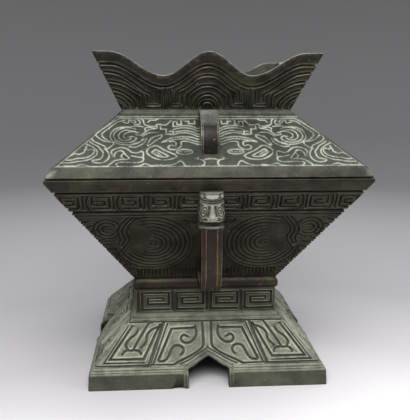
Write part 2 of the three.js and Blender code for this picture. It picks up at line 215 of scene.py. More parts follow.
def side_columns(half):
    """Where the columns of a side cross a level, hip to hip, with the rounded hips in steps."""
    radius = float(corner_radius(np.float64(half)))
    flat = half - radius
    right = [flat + radius * k / HIP_STEPS for k in range(1, HIP_STEPS + 1)]
    middle = np.linspace(-flat, flat, COLUMNS + 1)
    return np.concatenate([[-u for u in reversed(right)], middle, right])


def side_row(half, z, u=None):
    u = side_columns(half) if u is None else u
    x, y = plan(u, np.full_like(u, half))
    return np.stack([x, -y, np.full_like(u, z)], -1)


class Face:
    """A sloped band of one side: u runs across it, v up its slant from the lower edge."""

    def __init__(self, low, low_z, high, high_z):
        self.low, self.high, self.low_z = low, high, low_z
        self.slant = math.hypot(high - low, high_z - low_z)
        self.out = (high_z - low_z) / self.slant
        self.lift = (low - high) / self.slant

    def half(self, v):
        return self.low + (self.high - self.low) * v / self.slant

    def place(self, u, v, height):
        x, y = plan(u, self.half(v), height * self.out)
        return np.stack([x, -y, self.low_z + v * self.out + height * self.lift], -1)


class Shell:
    """Collects the faces of one side and turns them into a closed square body."""

    def __init__(self):
        self.points, self.groove, self.dust, self.faces, self.count = [], [], [], [], 0

    def add(self, points, faces, dust, groove):
        self.points.append(points)
        self.dust.append(np.broadcast_to(dust, len(points)))
        self.groove.append(groove)
        self.faces += [tuple(i + self.count for i in face) for face in faces]
        self.count += len(points)

    def rows(self, rows, dust, pale=0.0):
        """Bands of faces between rows of points. Dust and paleness are one value or one for each row."""
        width = len(rows[0])
        spread = [np.repeat(np.broadcast_to(value, len(rows)), width) for value in (dust, pale)]
        self.add(np.concatenate(rows), grid(len(rows), width), *spread)

    def levels(self, levels, dust, pale=0.0):
        self.rows([side_row(half, z) for half, z in levels], dust, pale)

    def piece(self, name):
        """Turns the side to all four sides, evens the values where they meet and closes the seams."""
        turns = [np.concatenate(self.points)]
        for _ in range(3):
            last = turns[-1]
            turns.append(np.stack([-last[:, 1], last[:, 0], last[:, 2]], -1))
        faces = [tuple(i + k * self.count for i in face) for k in range(4) for face in self.faces]
        points = np.concatenate(turns)
        piece = make_piece(name, points * MM, faces)
        cells = np.round(points / 0.004).astype(np.int64)
        _, same, shared = np.unique(cells, axis=0, return_inverse=True, return_counts=True)
        same = same.ravel()
        for layer_name, values in (("groove", self.groove), ("dust", self.dust)):
            even = np.bincount(same, np.tile(np.concatenate(values), 4)) / shared
            add_layer(piece, layer_name, even[same])
        weld(piece)
        return piece


# Lines of the cast ornament.

class Line:
    """One groove of the relief: its path on the face, width, depth, and the raised lips beside it.
    A path is given as points, or as u and v in turn."""

    def __init__(self, path, width=1.6, depth=0.8, flat=0.35, lip=0.32, lip_width=0.9):
        self.path = np.reshape(path, (-1, 2)).astype(float)
        self.width, self.depth, self.flat = width, depth, flat
        self.lip, self.lip_width = lip, lip_width
        self.closed = np.allclose(self.path[0], self.path[-1])


def arc(u, v, radius_u, radius_v, start, end, step=1.5):
    reach = math.radians(abs(end - start)) * max(radius_u, radius_v)
    angle = np.radians(np.linspace(start, end, max(4, int(reach / step) + 1)))
    return np.stack([u + radius_u * np.cos(angle), v + radius_v * np.sin(angle)], -1)


def coil(u, v, outer, inner, start, turns, step=1.5):
    reach = math.pi * abs(turns) * (outer + inner)
    share = np.linspace(0, 1, max(6, int(reach / step)))
    radius = outer + (inner - outer) * share
    angle = math.radians(start) + 2 * math.pi * turns * share
    return np.stack([u + radius * np.cos(angle), v + radius * np.sin(angle)], -1)


def flow(points, step=1.5):
    """A smooth line through a few points."""
    p = np.reshape(points, (-1, 2)).astype(float)
    ends = np.concatenate([[2 * p[0] - p[1]], p, [2 * p[-1] - p[-2]]])
    line = []
    for i in range(len(p) - 1):
        a, b, c, d = ends[i:i + 4]
        count = max(2, int(np.linalg.norm(c - b) / step))
        for t in np.arange(count) / count:
            line.append(0.5 * (2 * b + (c - a) * t + (2 * a - 5 * b + 4 * c - d) * t * t
                               + (3 * b - a - 3 * c + d) * t ** 3))
    line.append(p[-1])
    return np.array(line)


def key(u, v, wide, high, pitch, legs):
    """A squared coil of right angles, drawn inwards from its lower right corner with an even pitch."""
    steps = [(-1, 0), (0, 1), (1, 0), (0, -1)]
    a, b = u + wide / 2, v - high / 2
    points = [(a, b)]
    for i in range(legs):
        inset = pitch * max(0, (i - 1) // 2)
        du, dv = steps[i % 4]
        a += du * (wide - inset)
        b += dv * (high - inset)
        points.append((a, b))
    return points


def offset_rows(line, shares):
    """Lines beside a path, at shares of its half width, with mitred corners."""
    path = line.path[:-1] if line.closed else line.path
    ahead = np.roll(path, -1, 0) - path
    if not line.closed:
        ahead[-1] = ahead[-2]
    ahead /= np.linalg.norm(ahead, axis=1)[:, None] + 1e-12
    behind = np.roll(ahead, 1, 0)
    if not line.closed:
        behind[0] = ahead[0]
    normal = np.stack([-(ahead + behind)[:, 1], (ahead + behind)[:, 0]], -1)
    size = np.linalg.norm(normal, axis=1)[:, None] + 1e-9
    mitre = normal / size / np.maximum(size / 2, 0.6)
    return [path + mitre * line.width / 2 * share for share in shares]


def distance_to(points, path):
    best = np.full(len(points), 1e9)
    for start, span in zip(path[:-1], np.diff(path, axis=0)):
        along = np.clip(((points - start) @ span) / ((span ** 2).sum() + 1e-12), 0, 1)
        best = np.minimum(best, ((points - start - along[:, None] * span) ** 2).sum(1))
    return np.sqrt(best)


def height_at(points, lines):
    """Height of the relief over the plain face at each point."""
    cut, lift = np.zeros(len(points)), np.zeros(len(points))
    for line in lines:
        reach = line.width / 2
        far = reach + line.lip_width
        near = ((points > line.path.min(0) - far) & (points < line.path.max(0) + far)).all(1)
        if not near.any():
            continue
        away = distance_to(points[near], line.path)
        t = np.clip((away / reach - line.flat) / (1 - line.flat), 0, 1)
        cut[near] = np.maximum(cut[near], line.depth * (1 - t * t * (3 - 2 * t)))
        rise = line.lip * np.sin(np.pi * np.clip((away - reach) / line.lip_width, 0, 1))
        lift[near] = np.maximum(lift[near], rise)
    return lift * np.clip(1 - cut / 0.2, 0, 1) - cut


def unevenness(u, v, size=0.06):
    """The slow waves of a cast surface."""
    return size * (np.sin(u * 0.21 + 1.3 * np.sin(v * 0.17)) * np.sin(v * 0.26 + 0.7)
                   + 0.5 * np.sin(u * 0.53 + v * 0.41 + 2.0))


def relief(shell, face, lines, dust, top=None, top_columns=None, mirrored=True):
    """Cuts the lines into one face, whose top is straight or given as v for each u.
    The right half is meshed and mirrored, or the whole width."""

    def limit(u):
        return np.full_like(u, face.slant) if top is None else top(u)

    def limit_at(u):
        return float(limit(np.array([u]))[0])

    def kept(columns):
        if not mirrored:
            return columns
        half = columns[columns >= 0]
        return half if half[0] <= 1e-6 else np.concatenate([[0.0], half])

    def hip_steps(u):
        return np.linspace(0, limit_at(u), max(3, int(limit_at(u) / NET)))[1:-1]

    upper = kept(side_columns(face.high) if top_columns is None else top_columns)
    left = 0.0 if mirrored else -1.0
    border = [(u, 0.0) for u in kept(side_columns(face.low))]
    border += [(face.half(v), v) for v in hip_steps(upper[-1])]
    border += [(u, limit_at(u)) for u in upper[::-1]]
    border += [(left * face.half(v), v) for v in hip_steps(upper[0])[::-1]]
    verts = [Vector(p) for p in border]
    edges = []

    def add_path(path, closed=False):
        start, count = len(verts), len(path)
        verts.extend(Vector(p) for p in path)
        edges.extend((start + i, start + i + 1) for i in range(count - 1))
        if closed:
            edges.append((start + count - 1, start))

    for line in lines:
        shares = [0.35, 1.0]
        if line.lip:
            shares += [1 + line.lip_width / line.width, 1 + 2 * line.lip_width / line.width]
        for row in offset_rows(line, [-share for share in shares] + shares):
            add_path(row, line.closed)
    hip_end = limit_at(upper[-1])
    v = np.linspace(0.4, hip_end - 0.4, max(4, int(hip_end / NET)))
    for sign in (1,) if mirrored else (1, -1):
        for share in (1, 2 / 3, 1 / 3):
            add_path(np.stack([sign * (face.half(v) - HIP_RADIUS * share), v], -1))
    widest = max(face.low, face.high)
    for v in np.arange(NET / 2, face.slant, NET):
        for u in np.arange(NET / 2 if mirrored else -widest, widest, NET):
            if abs(u) < face.half(v) - HIP_RADIUS - 0.5 and v < limit_at(u) - NET_CLEAR:
                verts.append(Vector((u, v)))
    net = delaunay_2d_cdt(verts, edges, [list(range(len(border)))], 1, 1e-5)
    triangles = [tuple(t) for t in net[2] if len(t) >= 3]
    used = sorted({i for t in triangles for i in t})
    order = {old: new for new, old in enumerate(used)}
    triangles = [tuple(order[i] for i in t) for t in triangles]
    flat = np.array([tuple(p) for p in net[0]])[used]
    height = height_at(flat, lines)
    groove = np.where(height < 0, np.clip(-height / FULL_GROOVE, 0, 1), -np.clip(height / FULL_LIP, 0, 1))
    rim = np.minimum(flat[:, 1], limit(flat[:, 0]) - flat[:, 1])
    height = height + unevenness(flat[:, 0], flat[:, 1]) * np.clip(rim / 2, 0, 1)
    points = face.place(flat[:, 0], flat[:, 1], height)
    shell.add(points, triangles, dust, groove)
    if mirrored:
        shell.add(points * np.array([-1.0, 1.0, 1.0]), [t[::-1] for t in triangles], dust, groove)


def level(face, v, width, depth, start=-3):
    return Line([(start, v), (face.half(v) + width, v)], width, depth)


# Motifs of each face. Only the right half is drawn where a face is mirrored.

def bowl_lines(face):
    """A band of frets, large coils and small ones, streamers between them, and short bars below."""
    fret_v = 78.7
    lines = [level(face, 87.4, 2.2, 1.5), level(face, 70, 2.2, 1.5), level(face, 66.9, 1.2, 0.6)]
    for i in range(5):
        centre = 12.4 + 20.15 * i
        lines += [Line(key(centre, fret_v, 11.8, 10.2, 3.3, 7), 1.5, 1),
                  Line([centre - 8.6, 72.6, centre - 8.6, 84.8], 1.2, 0.8)]
        if centre < 85:
            lines.append(Line(arc(centre - 2, fret_v, 11.6, 12, -32, 32), 1.2, 0.8))
    u, v = 39.5, 38.5
    for k in range(7):
        radius = 26.5 - 3.3 * k
        lines.append(Line(arc(u, v, radius, radius, 62 + 9 * k, 352 - 12 * k), 1.5, 0.9))
    lines.append(Line(coil(u, v, 3.2, 0.8, 60, 1.2), 1.3, 0.8))
    for k in range(3):
        radius = 9.4 - 3.1 * k
        lines.append(Line(arc(70.4, 53.6, radius, radius, 20 * k - 150, 150 - 10 * k), 1.4, 0.8))
    for k in range(3):
        s = 3.1 * k
        streamer = [49.4 + s, 65, 54.6 + s, 58, 57.2 + s, 50.6, 55.4 + s, 43, 60.4 + s * 0.4, 33 + s]
        lines += [Line(flow(streamer), 1.4, 0.8),
                  Line(flow([5.6 + s, 63.4, 7.2 + s, 58.4, 11.8 + s, 60.8 + k]), 1.3, 0.7)]
    lines.append(Line(flow([46, 12.4, 55, 14.6, 62.4, 21.6, 66.6, 29]), 1.4, 0.8))
    for k in range(13):
        v = 5 + 4.6 * k
        lines.append(Line([face.half(v) - 5.2 - 1.3 * (k % 2), v + 1.6, face.half(v) + 2, v], 1.7, 1))
    bars = [(1.5 + 2.75 * k, 10.4 - 0.9 * (k % 3)) for k in range(19)]
    return lines + [Line([u, 3, u, top], 1.2, 0.8) for u, top in bars]


def neck_lines():
    """A wide squared coil four times, with an upright bar left of each."""
    lines = []
    for centre in (-39, -13, 13, 39):
        lines += [Line(key(centre + 0.8, 9.2, 20.4, 13.4, 4.2, 8), 1.7, 1.1, 0.5),
                  Line([centre - 12.4, 2.5, centre - 12.4, 15.9], 1.5, 1, 0.5)]
    return lines


def foot_lines(face):
    """Bands that follow the notch, a hooked scroll beside it, and a framed pair of strokes."""
    # Width, depth, flat share, lip and lip width of each kind of line.
    broad, ridge, thin = (1.9, 1.2, 0.4, 0.45, 1.4), (1.1, 0.7, 0.2, 0.3), (1.2, 0.8)
    smooth, straight = True, False
    lines = [level(face, 35.2, 1.3, 0.9), level(face, 1.5, 1.1, 0.8, 24.6)]
    for path, kind, shape in (
            ([3.3, 35, 3.1, 24, 3.2, 16.2, 5.6, 12.6, 10.8, 8.8, 19.3, 4.6, 25, 1.5], smooth, broad),
            ([0, 11.4, 2.6, 9.8, 8.6, 5.6, 14.4, 1.9, 16.6, 0.7], smooth, ridge),
            ([0, 13.9, 3.2, 11.8, 9, 8, 14.6, 4.4, 20.4, 1.7], smooth, ridge),
            ([29.3, 34, 40.2, 2], straight, thin),
            ([32.4, 35, 43.2, 0.8], straight, (2.6, 1.5, 0.5, 0.45, 1.4)),
            ([19.4, 9.3, 18.1, 11.2, 18.4, 14, 21, 16, 24.9, 15.6, 27.2, 12.4, 29.3, 7.2, 32.4, 4.2, 36.2,
              4.2], smooth, broad),
            ([36.6, 4.4, 26.4, 29.6, 9.6, 29.6], straight, broad),
            ([8.7, 31.2, 8, 25.6, 9.8, 21, 13.8, 18, 17.9, 18.4, 19.8, 21.6, 17.7, 24.4, 15.3, 23.2],
             smooth, broad),
            ([35, 33, 47, 6.2, 71.8, 6.2, 56.2, 31.8], straight, broad),
            ([36.6, 30.8, 41.4, 28.8, 44.7, 24.8, 45.5, 19.4, 49.2, 14.8], smooth, broad),
            ([43.4, 34.6, 48.4, 25.6, 51.8, 19.6, 54.6, 13.6], smooth, broad),
            ([51.4, 29.4, 53.2, 25.8, 58.1, 21.4, 60.4, 17, 58.8, 13.4], smooth, broad),
            ([48.9, 9.8, 50.6, 12.6, 55.6, 12.9, 60.6, 12.6, 62.9, 9.8], smooth, broad),
            ([46.6, 3.6, 75.8, 3.6, 58.6, 32.6], straight, (1.1, 0.8))):
        lines.append(Line(flow(path) if kind is smooth else path, *shape))
    return lines


# Smooth threads of the lid's right half, each as u and v in turn.
LID_CURVES = [
    [61.6, 47.6, 65.1, 44.3, 70.9, 38.5, 76.6, 32.6, 75.9, 29.7, 72.3, 26, 68, 24.2, 64.4, 23.5, 65.1, 20.9,
     68, 18],
    [58.7, 45.4, 62.3, 44.2, 65.1, 41.4, 69.1, 36.6, 72.6, 32.2, 71.6, 28.6, 68, 25.4],
    [79.4, 28.2, 78, 25.3, 73.7, 22.4, 70.1, 20.2, 69.1, 17.6],
    [80.5, 24.9, 78, 22.4, 74.4, 19.8, 73, 17.3, 71.2, 15.1, 70.9, 12.5, 71.7, 9.2, 73.7, 7.6, 77.3, 7, 76.6,
     5.4, 73, 4.5, 69.4, 5.6, 67.3, 8.5, 66.9, 12.1, 68, 15.1, 69.4, 17.3],
    [45.1, 39, 48, 39.6, 53.7, 39.2, 59.4, 38.7, 63.7, 37, 66.4, 33.3, 66.9, 29, 65.1, 25.3, 61.6, 22.7, 56.6,
     21.3, 51.6, 21.6, 47.3, 23.7, 44.1, 26.8],
    [50, 36.8, 53, 37.9, 56.6, 38.1, 60.9, 36.6, 64.1, 33.3, 64.8, 29.7, 63, 26, 59.4, 23.8, 55.1, 23.5, 50.9,
     24.9, 49.4, 27.5, 50.9, 29.5, 53.4, 29.1],
    [50.9, 34.4, 55.9, 35.8, 59.4, 34.4, 61.4, 31.1, 60.7, 27.6, 58, 25.6, 55, 25.9, 53.4, 27.1],
    [48.7, 33.2, 50.9, 34.2, 54.4, 33.9, 57.6, 31.7, 57.9, 29.1, 56.4, 27.9],
    [49.4, 31, 46.4, 30.4, 43.7, 33.3, 40.9, 36.1, 36.6, 37],
    [45.1, 29.5, 41.6, 32.5, 38.7, 33.3, 35.1, 33],
    [43.4, 35.4, 43.7, 37.7, 40.9, 38.3, 35.9, 37.5, 35.4, 39.2],
    [32.4, 31, 36.6, 29.5, 39.8, 26.8, 41.9, 20.9, 40.1, 21.3, 36.6, 25.2, 32.4, 28.8, 32.4, 31],
    [42.6, 27.1, 43.7, 23.8, 46.6, 20.9, 50.1, 19, 53, 19.4],
    [45.1, 26.8, 46.6, 24.4, 49.4, 23, 52.3, 22.2],
    [42.3, 15.8, 40.5, 18.6, 36.6, 20.5, 34.1, 19.4, 30.9, 16.5, 23, 11.4, 22.9, 9.9, 25.1, 8.1, 30.1, 7,
     35.1, 7.7, 39.4, 10.3, 41.9, 13.2, 42.3, 15.8],
    [38.9, 14.3, 36.6, 16.8, 34.4, 15.4, 28, 10.5, 32.3, 9.6, 36.2, 11.4, 38.9, 14.3],
    [32.3, 23.5, 29.4, 26, 24.4, 28.1, 18.7, 29, 11.6, 28.2, 7.7, 26.4],
    [32.3, 23.5, 28.7, 24.7, 22.3, 26.6, 15.1, 26.8, 7.7, 23.7],
    [27.3, 24.2, 23.7, 24.4, 22.7, 22.7, 23.3, 20.2, 25.9, 20.9, 28, 19.4, 27.3, 17.3, 24.4, 16.4, 21.4, 17.6,
     19.4, 20.2, 19.4, 23.2, 17.9, 24.4, 13.7, 24.1, 7.7, 21.3],
    [23.7, 31.5, 18, 33, 13, 32.3, 7.7, 29.1],
    [22.3, 33.9, 16.6, 35.1, 11.6, 34.1, 7.7, 31.4],
    [24.4, 36.4, 18, 37.9, 11.6, 37.1, 7.7, 34.4],
    [23.7, 39.2, 17.3, 40.1, 11.6, 39.5, 7.7, 37.1],
    [10.9, 8.1, 8, 9.2, 8.6, 7.4, 5.9, 7, 4.3, 4.8, 5.1, 1.9, 8, 1.2, 15.9, 1.2, 17.6, 2.6, 19.1, 5.6, 21.2,
     5.6, 23.7, 3.5, 29.4, 1.9, 33.7, 2.3, 39.4, 1.9, 42.3, 3.4, 44.4, 3.4, 46.9, 1.8, 58, 1.2, 60.9, 1.9,
     61.9, 4.1, 58, 5.2, 47.3, 4.8, 44.4, 7, 44.8, 9.2, 48, 9.8, 51.4, 10.7],
    [44.8, 9.2, 44.4, 12.1, 45.1, 15.2],
    [65.1, 12.5, 65.6, 15.1, 63.7, 17.3, 59.4, 18.7, 55.1, 17.3, 52.3, 14.3, 48.7, 13.6, 45.4, 15.4],
    [63.6, 11.7, 62.3, 14.7, 58.9, 15.8, 56.6, 12.9, 53.7, 8.3, 58, 7.6, 62.3, 6.9, 64.7, 4.8, 66.9, 2.5, 68,
     1.4, 77.3, 1.4, 80.9, 2.3, 84.4, 3.4, 88, 1.9, 96.6, 1.9, 100.1, 1.2],
    [58, 12.5, 59.1, 10.7, 58, 9.1],
    [97.3, 4.8, 91.6, 4.8, 86.6, 6.1, 81.6, 7, 77.6, 9.2, 75.1, 12.1, 75, 15.8, 77.3, 18.7, 79.8, 20.8, 83,
     22.7],
    [94.8, 7.6, 91.6, 7.2, 87.3, 8.7, 83, 9.2, 79.4, 10.7, 77.1, 13.5, 76.6, 15.8, 78.6, 17.4, 80.7, 16.5,
     82.3, 18, 81.9, 20.2],
    [92.1, 11, 89.3, 13.5, 86.6, 12.5, 83.4, 14.3, 82.9, 17.3],
    [46.4, 47.5, 44.9, 45.4, 44.3, 42.1, 41.6, 39.9, 36.6, 39.6, 35.4, 41.4, 33, 41.4, 29.4, 40.8, 26.6, 44.2,
     25.7, 45.9],
    [41.6, 43.7, 40.1, 45.6, 36.6, 45.6, 34.9, 47.1],
    [58, 43.6, 55.1, 42.7, 54.9, 45.6, 51.6, 45.8, 50, 44.2, 51.4, 43, 53, 44.2],
    [48.7, 46.2, 47.1, 44.2, 47.6, 41.4, 50.4, 41.4],
    [-1.5, 18.4, 1.6, 17.4, 2.7, 14.6, 2.3, 12.6],
    [-2, 7.9, 2, 7.8, 4.2, 7, 5.4, 5.4],
]


def lid_lines(face):
    """Clouds, swirls, brows, eyes and half moons, as fine threads over the slope."""
    thread = (1.7, 0.65, 0.5, 0)
    whiskers = [[-2, v + 1.1, 2, v + 1, 5, v + 0.5, 8, v] for v in (37.1, 34.4, 31.4, 29.1, 26.4, 23.7, 21.3)]
    straight = [
        [9.4, 45.4, 9.4, 42, 13.6, 42, 13.6, 44.5, 15.9, 44.5],
        [24.4, 39.2, 24.4, 44.3, 21.6, 44.3, 21.6, 41.4, 18.7, 41.4, 18.7, 45.3],
        [33, 39.2, 33, 36.6, 29.4, 36.6, 29.4, 31.7, 24.3, 31.7, 24.3, 34.4, 27.1, 34.4],
        [-0.6, 45.4, 3.6, 42.8, -0.6, 40.2],
    ]
    lines = [Line(path, *thread) for path in [flow(curve) for curve in LID_CURVES + whiskers] + straight]
    # Borders below, above and along the hip.
    for path, width, depth in (([-3, 1, 102, 1], 1.3, 0.5), ([8, 47.2, 61, 47.2], 1.4, 0.5),
                               ([-3, 49.6, 64, 49.6], 1.2, 0.5),
                               ([(face.half(2) - 1.9, 2), (face.half(49) - 1.9, 49)], 1.2, 0.4)):
        lines.append(Line(path, width, depth, 0.4, 0))
    # The eye with its beads, and the hatching of the half moon.
    eye_u, eye_v = 17.1, 14.5
    lines.append(Line(arc(eye_u, eye_v, 5.4, 2.3, 0, 360), *thread))
    fine = [arc(eye_u + shift, eye_v, 0.8, 0.6, 0, 360, 0.5) for shift in (-2.9, 0, 2.9)]
    fine += [[(31.4 + 1.5 * k, 9.9 + 0.6 * k), (34.6 + 1.0 * k, 13.9 + 0.5 * k)] for k in range(4)]
    return lines + [Line(path, 0.9, 0.5, 0.35, 0) for path in fine]


def wave(u, valley=WAVE_VALLEY, crest=WAVE_CREST, hip=WAVE_HIP):
    """Height of a wave up the crown's wall, at u."""
    out = np.abs(np.asarray(u, float))
    inside = valley + crest * (1 + np.cos(np.pi * out / WAVE_INNER)) / 2
    share = np.clip((out - WAVE_INNER) / WAVE_OUTER, 0, 1)
    return np.where(out < WAVE_INNER, inside, valley + hip * (1 - np.cos(np.pi * share)) / 2)


def crown_lines():
    """Terraced waves over nested arches: each step ends in a thin thread that catches the light."""
    u = np.arange(-3, 79, 1.3)
    lines = [Line(np.stack([u, wave(u, 17.3, 15.7, 16.1)], -1), 2, 1.5)]
    paths = [
        [-3, 26, 3, 25.8, 8, 24, 13, 19.6, 17.4, 16.4, 21.4, 14, 21.6, 10, 21.6, 7],
        [-3, 18.6, 3, 18.4, 7.4, 16.6, 11.4, 13.4, 14.2, 11, 14.4, 7, 14.4, 2.6],
        [-2, 12.2, 2, 12, 5.6, 10.2, 8.4, 6.4, 9.6, 2.2],
        [-2, 6.6, 2, 6.2, 4.2, 4.4, 4.8, 1.8],
        [77, 28.2, 68, 27.8, 60, 26, 52, 20.8, 44, 14.4, 39, 11.2, 38.8, 7],
        [74, 21.6, 66, 21.2, 58, 19.2, 51, 14.8, 45.2, 11, 45, 7, 44.8, 2.4],
        [71, 15.2, 64, 14.8, 58, 12.4, 53, 8.6, 50.4, 5, 49.6, 2],
        [68, 9.4, 63, 9, 58.6, 6.6, 55, 2],
        [65, 4.6, 61.6, 4, 59.6, 1.6],
    ]
    lines += [Line(flow(path), 1.8, 1.4) for path in paths]
    lines.append(Line([29.6, 15.6, 29.6, 1.6], 1.5, 0.9))
    small = ([17.8, 10.4, 17.8, 3.4, 24.8, 3.4], [25.6, 12.4, 25.6, 6.6], [33.2, 14.6, 33.2, 3.4, 40.4, 3.4])
    return lines + [Line(path, 1.4, 0.8) for path in small]


# The two bodies. After its levels or lines, each band has its dust, and its paleness where it has any:
# above zero it is painted like a groove, below zero made paler like a lip.

EDGE_DROP = 0.5


def build_vessel():
    shell = Shell()
    foot, neck, bowl = Face(*FOOT), Face(*NECK), Face(*BOWL)
    shell.levels(FOOT_INSIDE, 0.0)
    shell.levels(FOOT_INSIDE[-1:] + PLINTH, 0.56)
    shell.levels(PLINTH[-1:] + BEADS, 0.9, -0.6)
    relief(shell, foot, foot_lines(foot), 1.0)
    shell.levels([FOOT[2:]] + LEDGES, 0.7, -0.3)
    relief(shell, neck, neck_lines(), 0.3, mirrored=False)
    shell.levels([NECK[2:]] + COLLAR, 0.0)
    relief(shell, bowl, bowl_lines(bowl), 0.11)
    shell.levels([BOWL[2:]] + RIM, 0.12)
    shell.levels(RIM[-1:] + MOUTH + BOWL_FLOOR, 0.35)
    return shell.piece("cast_vessel")


def crown_edge(half):
    """Columns along the crown's edge: close over the waves, then out to the hips."""
    end, flat = WAVE_INNER + WAVE_OUTER, half - HIP_RADIUS
    hip = flat + HIP_RADIUS * np.arange(1, HIP_STEPS + 1) / HIP_STEPS
    right = np.concatenate([np.linspace(0, end, 49), np.linspace(end, flat, 6)[1:], hip])
    return np.concatenate([-right[:0:-1], right])


def build_lid():
    shell = Shell()
    slope, crown, inside = Face(*LID_SLOPE), Face(*CROWN), Face(*CROWN_INSIDE)
    shell.levels(LID_INSIDE, 0.2)
    shell.levels(LID_INSIDE[-1:] + LID_EDGE, 0.15)
    shell.levels(LID_BAND, 0.4, 0.12)
    relief(shell, slope, lid_lines(slope), 0.8)
    shell.levels([LID_SLOPE[2:]] + CROWN_BASE, 0.8, 0.1)
    outer, inner = crown_edge(crown.high), crown_edge(inside.high)
    relief(shell, crown, crown_lines(), 0.12, top=lambda u: wave(u) - EDGE_DROP, top_columns=outer)
    # Over the crown's rounded edge, then down its inner wall and across its floor.
    rows = [crown.place(outer, wave(outer) - drop, np.full_like(outer, push))
            for drop, push in ((EDGE_DROP, 0.0), (0.34, -0.15), (0.3, -0.5))]
    rows += [inside.place(inner, wave(inner) - drop, np.zeros_like(inner)) for drop in (0.0, 0.2, 0.6)]
    edge_pale = [0.5, 0.5, 0.4, 0.3, 0.2, 0.1]
    for share in (0.97, 0.66, 0.33, 0.0):
        v = (wave(inner) - 0.6) * share
        u = inner * inside.half(v) / inside.high
        rows.append(inside.place(u, v, np.zeros_like(u)))
    rows += [side_row(max(half, 1e-6), z, inner * half / inside.high) for half, z in CROWN_FLOOR]
    deep = len(rows) - len(edge_pale)
    shell.rows(rows, [0.7] * len(edge_pale) + [0.25] * deep, edge_pale + [0.0] * deep)
    return shell.piece("cast_lid")


def notch_edge(offset, step=0.8):
    """Right half of the notch's outline, moved outward by an offset: shoulder to apex."""
    rise = NOTCH_APEX - NOTCH_SHOULDER
    points = [(NOTCH_HALF, NOTCH_SHOULDER), (NOTCH_HALF * 0.66, NOTCH_SHOULDER + rise * 0.36),
              (NOTCH_HALF * 0.33, NOTCH_SHOULDER + rise * 0.68), (0, NOTCH_APEX)]
    lift = offset / math.cos(math.atan2(rise, NOTCH_HALF))
    slope = (lift - offset * 0.6) / NOTCH_HALF
    moved = [(x + offset * x / NOTCH_HALF, z + lift - slope * x) for x, z in points]
    return flow(moved, step)


def cut_away(piece, cutter):
    cut = piece.modifiers.new("cut", "BOOLEAN")
    cut.operation, cut.solver, cut.object = "DIFFERENCE", "EXACT", cutter
    plain = baked_mesh(piece)
    piece.modifiers.remove(cut)
    piece.data = plain
    bpy.data.objects.remove(cutter)


def cut_notches(piece):
    """Cuts the pointed notch through the middle of each side of the foot."""
    below, inside, outside = -2.0, 60.0, 95.0
    outline = [(NOTCH_HALF, below)] + [tuple(p) for p in notch_edge(0.0)]
    outline += [(-x, z) for x, z in outline[-2::-1]]
    count = len(outline)
    points = np.array([(x, -y, z) for y in (inside, outside) for x, z in outline]) * MM
    faces = [tuple(range(count)), tuple(range(2 * count - 1, count - 1, -1))]
    faces += [(i, i + count, (i + 1) % count + count, (i + 1) % count) for i in range(count)]
    for turn in range(4):
        cutter = make_piece("notch_cutter", points, faces)
        cutter.data.transform(Matrix.Rotation(math.pi / 2 * turn, 4, "Z"))
        weld(cutter)
        cut_away(piece, cutter)


def chip_plinth(piece):
    """Breaks a small flat flake from the lower edge of the plinth, left of the front notch."""
    size, place = (5.2, 2.6, 1.7, 1.0), Vector((-21.5, -87.2, -0.15))
    work = bmesh.new()
    ball = bmesh.ops.create_icosphere(work, subdivisions=3, radius=1.0)
    bmesh.ops.transform(work, matrix=Matrix.Diagonal(size), verts=ball["verts"])
    for vert in work.verts:
        vert.co *= 1 + 0.08 * math.sin(vert.co.x * 2.3 + vert.co.z * 3.1)
        vert.co += place
        vert.co *= MM
    mesh = bpy.data.meshes.new("flake")
    work.to_mesh(mesh)
    work.free()
    cut_away(piece, add_object("flake", mesh))


def lift_tip(piece, rise=0.85):
    """The front left tip of the crown stands a little higher than the others."""
    points = read_points(piece)
    near, reach, low, tall = 108, 48, 212, 25
    corner = np.clip((-(points[:, 0] + points[:, 1]) / MM - near) / reach, 0, 1)
    high = np.clip((points[:, 2] / MM - low) / tall, 0, 1)
    points[:, 2] += rise * MM * corner * high
    piece.data.vertices.foreach_set("co", points.ravel())
    piece.data.update()


def wear_corners(piece):
    """The four corners of the lid's edge are rubbed down to pale metal."""
    strength, start, span = 1.3, 104.6, 1.4
    corner = np.abs(read_points(piece)[:, :2]).min(1) / MM
    layer = piece.data.attributes["groove"]
    groove = np.zeros(len(corner))
    layer.data.foreach_get("value", groove)
    rubbed = strength * np.clip((corner - start) / span, 0, 1)
    layer.data.foreach_set("value", np.where(rubbed > 0, np.maximum(groove, rubbed), groove))


# Beads and straps, swept along their paths.

def sweep_tree(name, sizes, profiles):
    """A tree that sweeps profiles along a path, with the named sizes and the material as inputs."""
    tree = bpy.data.node_groups.new(name, "GeometryNodeTree")
    new_socket(tree, "Path", "Geometry", "INPUT")
    for size, millimetres in sizes.items():
        new_socket(tree, size, "Float", "INPUT", millimetres * MM)
    new_socket(tree, "Material", "Material", "INPUT")
    new_socket(tree, "Swept", "Geometry", "OUTPUT")
    g = Graph(tree)
    source = g.node("NodeGroupInput").outputs
    join = g.node("GeometryNodeJoinGeometry")
    for profile in profiles(g, source):
        body = g.node("GeometryNodeCurveToMesh", {"Curve": source["Path"], "Profile Curve": profile,
                                                  "Fill Caps": True})
        g.links.new(body.outputs[0], join.inputs[0])
    real = g.node("GeometryNodeRealizeInstances", {0: join.outputs[0]}).outputs[0]
    paint = g.node("GeometryNodeSetMaterial", {"Geometry": real, "Material": source["Material"]})
    g.node("NodeGroupOutput", {0: paint.outputs[0]})
    return tree


def bead_profile(g, source):
    circle = g.node("GeometryNodeCurvePrimitiveCircle", {"Resolution": 8, "Radius": source["Bead Radius"]})
    return [circle.outputs[0]]


